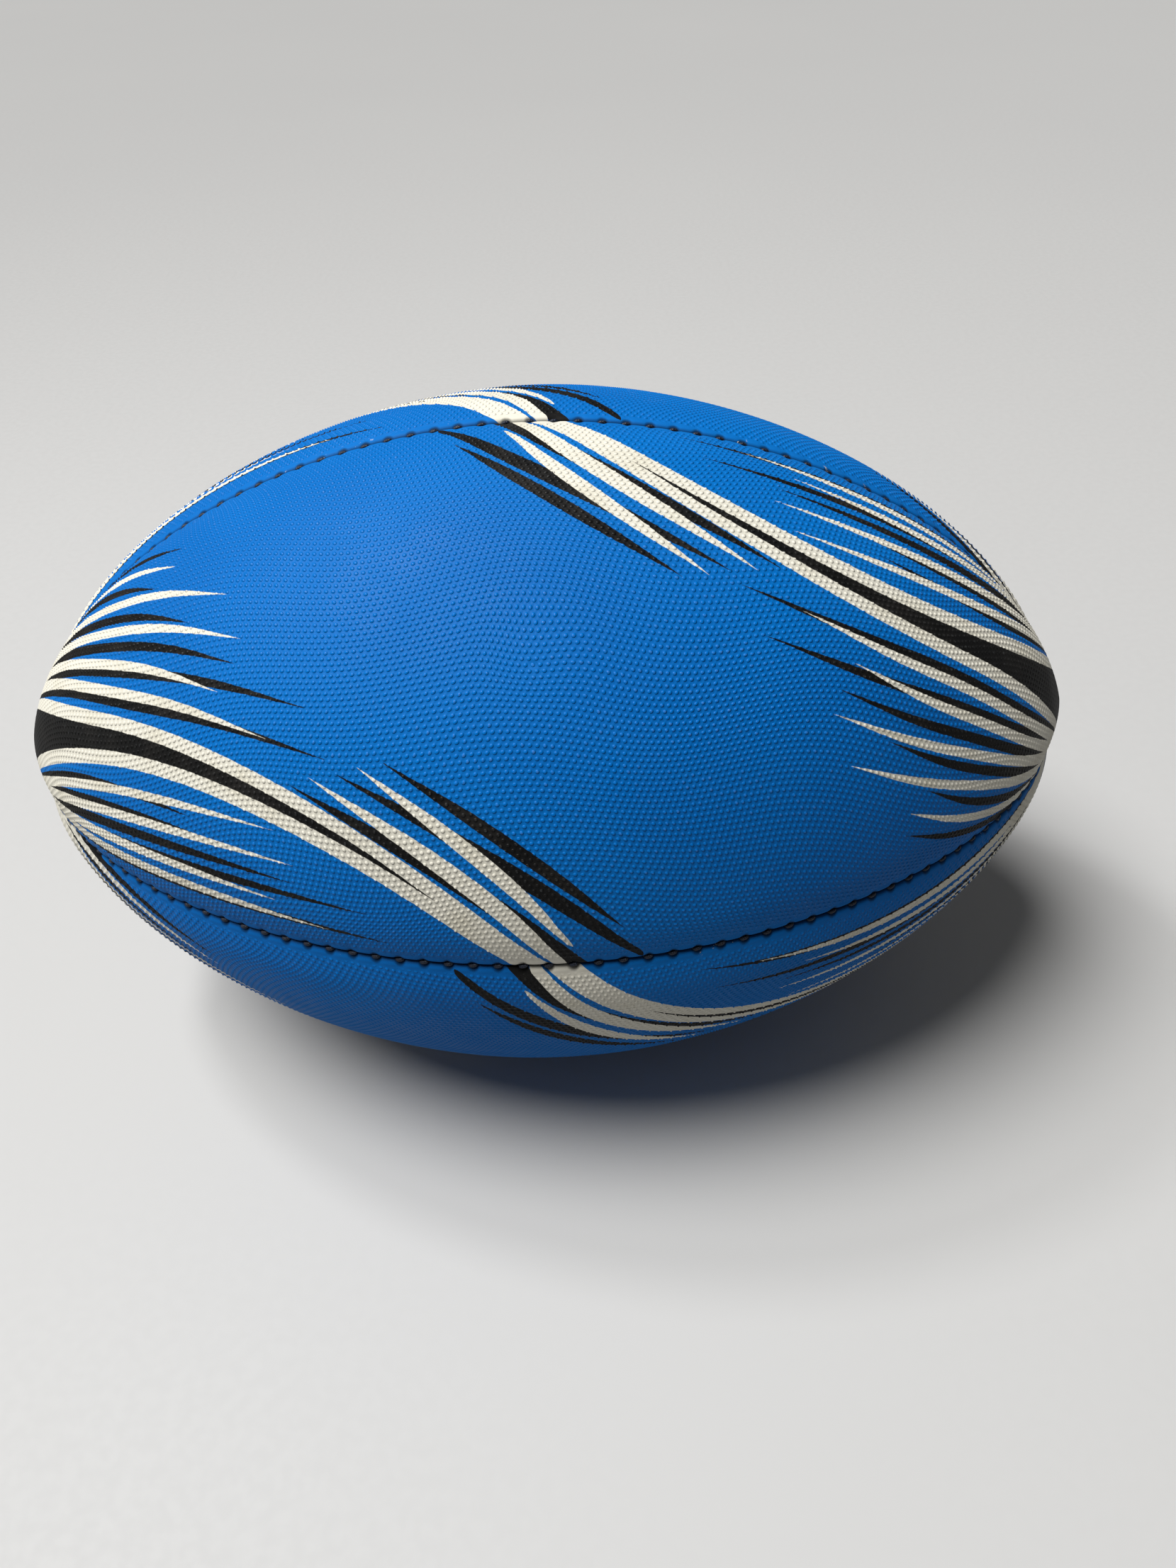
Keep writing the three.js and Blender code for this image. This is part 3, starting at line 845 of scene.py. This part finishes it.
sun_data = bpy.data.lights.new("key_light", "SUN")
sun_data.energy = 3.4
sun_data.angle = math.radians(30)
sun_data.color = (1.0, 0.99, 0.97)
sun = bpy.data.objects.new("key_light", sun_data)
sun.rotation_euler = Vector((0.44, 0.12, -1.0)).to_track_quat("-Z", "Y").to_euler()
bpy.context.scene.collection.objects.link(sun)
area_light("window_light", (-0.35, 0.12, 0.75), 0.12, 2.0)

AMBIENT_LIGHT = 0.09
BACKDROP_BRIGHTNESS = 0.55
world = bpy.data.worlds.new("studio")
world.use_nodes = True
backdrop = world.node_tree.nodes["Background"]
backdrop.inputs["Color"].default_value = (0.975, 0.98, 0.99, 1)
seen = world.node_tree.nodes.new("ShaderNodeLightPath").outputs["Is Camera Ray"]
strength = world.node_tree.nodes.new("ShaderNodeMapRange")
strength.inputs["To Min"].default_value = AMBIENT_LIGHT
strength.inputs["To Max"].default_value = BACKDROP_BRIGHTNESS
world.node_tree.links.new(seen, strength.inputs["Value"])
world.node_tree.links.new(strength.outputs["Result"], backdrop.inputs["Strength"])
bpy.context.scene.world = world

CAMERA_DISTANCE = 0.327
CAMERA_DROP = math.radians(39.93)
CAMERA_ROLL = math.radians(2.16)
AIM_RIGHT = 0.0108
AIM_DOWN = 0.0161

forward = Vector((0, math.cos(CAMERA_DROP), -math.sin(CAMERA_DROP)))
level_right = Vector((1, 0, 0))
level_up = Vector((0, math.sin(CAMERA_DROP), math.cos(CAMERA_DROP)))
right = level_right * math.cos(CAMERA_ROLL) - level_up * math.sin(CAMERA_ROLL)
up = level_up * math.cos(CAMERA_ROLL) + level_right * math.sin(CAMERA_ROLL)
camera_data = bpy.data.cameras.new("camera")
camera_data.sensor_width = 36
camera_data.lens = 27.21
camera_data.clip_start = 0.01
camera = bpy.data.objects.new("camera", camera_data)
place = centre - forward * CAMERA_DISTANCE + right * AIM_RIGHT - up * AIM_DOWN
turn = Matrix((right, up, -forward)).transposed().to_4x4()
camera.matrix_world = Matrix.Translation(place) @ turn
bpy.context.scene.collection.objects.link(camera)
bpy.context.scene.camera = camera
bpy.context.scene.view_settings.view_transform = "Standard"
